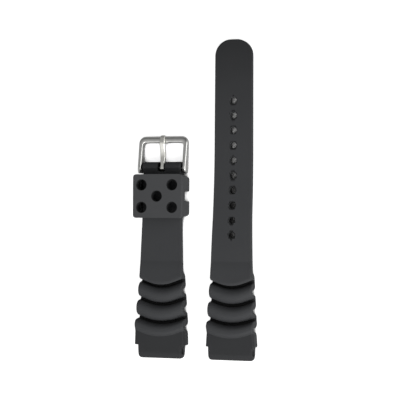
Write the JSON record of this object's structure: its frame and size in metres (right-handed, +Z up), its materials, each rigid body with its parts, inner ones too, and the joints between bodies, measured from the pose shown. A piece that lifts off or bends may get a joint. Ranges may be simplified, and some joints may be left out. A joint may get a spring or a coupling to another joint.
{
  "type": "watch strap",
  "caption": "Two-piece rubber dive strap with an accordion vent at each lug end, a sliding keeper and a steel pin buckle on a spring bar.",
  "frame": {"origin": "centre of the buckle half's lug bore", "axes": "+X along the lug bore towards the long half, +Y along the strap from the lug end towards the buckle, +Z up from the table, with both halves lying face up"},
  "size_m": [0.0611, 0.1561, 0.011],
  "materials": {
    "strap_rubber": "matt moulded rubber",
    "keeper_rubber": "matt moulded rubber, slightly lighter",
    "buckle_steel": "polished stainless steel",
    "bar_steel": "bright stainless steel",
    "spring_steel": "spring wire"
  },
  "bodies": {
    "short_half": {"short_strap": "strap_rubber"},
    "keeper": {"keeper": "keeper_rubber"},
    "spring_bar": {"bar_barrel": "bar_steel", "bar_spring": "spring_steel"},
    "pin_left": {"bar_pin_left": "bar_steel"},
    "pin_right": {"bar_pin_right": "bar_steel"},
    "buckle_frame": {"buckle_frame": "buckle_steel"},
    "tang": {"tang": "buckle_steel"},
    "long_half": {"long_strap": "strap_rubber"}
  },
  "joints": [
    {"name": "keeper_slide", "type": "slide", "parent": "short_half", "child": "keeper", "axis": [0, -1, 0], "range_m": [0, 0.02]},
    {"name": "spring_bar_spin", "type": "hinge", "parent": "short_half", "child": "spring_bar", "pos_m": [0, 0.09, -0.0006], "axis": [1, 0, 0], "continuous": true},
    {"name": "pin_left_press", "type": "slide", "parent": "spring_bar", "child": "pin_left", "axis": [1, 0, 0], "range_m": [0, 0.00115], "stiffness_N_per_m": 1500, "springref_m": -0.0008, "deforming": ["bar_spring"]},
    {"name": "pin_right_press", "type": "slide", "parent": "spring_bar", "child": "pin_right", "axis": [-1, 0, 0], "range_m": [0, 0.00115], "stiffness_N_per_m": 1500, "springref_m": -0.0008, "deforming": ["bar_spring"]},
    {"name": "buckle_swing", "type": "hinge", "parent": "short_half", "child": "buckle_frame", "pos_m": [0, 0.09, -0.0006], "axis": [-1, 0, 0], "range_deg": [-95, 105]},
    {"name": "tang_lift", "type": "hinge", "parent": "buckle_frame", "child": "tang", "pos_m": [0, 0.09, -0.0006], "axis": [1, 0, 0], "range_deg": [0, 95]},
    {"name": "long_half_lift", "type": "slide", "parent": "short_half", "child": "long_half", "axis": [0, 0, 1], "range_m": [0, 0.03]}
  ]
}
